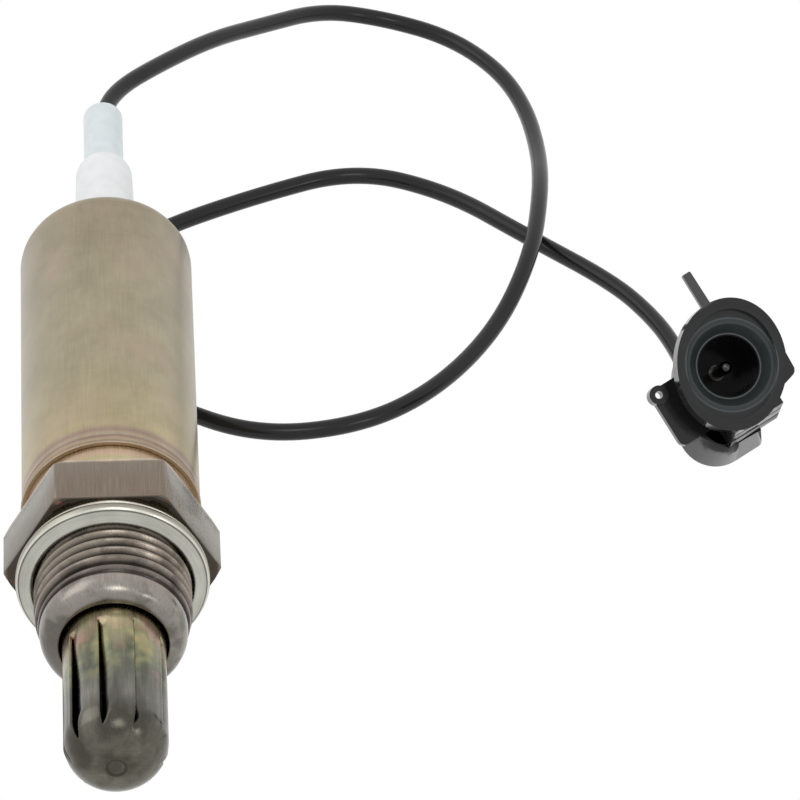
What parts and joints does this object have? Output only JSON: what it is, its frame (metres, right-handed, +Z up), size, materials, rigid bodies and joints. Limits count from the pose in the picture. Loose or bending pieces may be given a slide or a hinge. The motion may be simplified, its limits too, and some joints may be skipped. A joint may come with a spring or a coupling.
{
  "type": "oxygen sensor",
  "caption": "Screw-in exhaust oxygen sensor: louvred tip, threaded shell with hexagon and crush washer, steel sleeve, and a looped lead ending in an angled black connector.",
  "frame": {"origin": "centre of the bounding box of the sensor without its lead and connector, on the floor it lies on", "axes": "+Z up; +Y along the lying sensor from its louvred tip towards its hose; +X towards the side where the connector lies"},
  "size_m": [0.0932, 0.1651, 0.0233],
  "materials": {
    "shell_steel": "heat-tinted satin",
    "sleeve_steel": "brushed, faint heat tint",
    "tube_steel": "heat-tinted satin",
    "washer_steel": "satin",
    "inner_metal": "bright",
    "zirconia": "matt ceramic",
    "support_ceramic": "matt ceramic",
    "talc": "pressed powder",
    "white_fluoropolymer": "waxy",
    "lead_jacket": "satin",
    "connector_black": "gloss",
    "terminal_metal": "tinned",
    "seal_rubber": "matt"
  },
  "bodies": {
    "root": {"protection_tube": "tube_steel", "hex_shell": "shell_steel", "sealing_washer": "washer_steel", "sensor_element": "zirconia", "element_gasket": "inner_metal", "talc_ring": "talc", "support_ceramic": "support_ceramic", "disc_spring": "inner_metal", "contact_sleeve": "inner_metal", "contact_stem": "inner_metal", "crimp_terminal": "inner_metal", "protective_sleeve": "sleeve_steel", "ptfe_bush": "white_fluoropolymer", "ptfe_hose": "white_fluoropolymer", "lead_end": "lead_jacket", "lead": "lead_jacket", "lead_tip": "lead_jacket", "connector_housing": "connector_black", "male_terminal": "terminal_metal", "cable_seal": "seal_rubber", "rear_lock": "connector_black"}
  },
  "joints": []
}
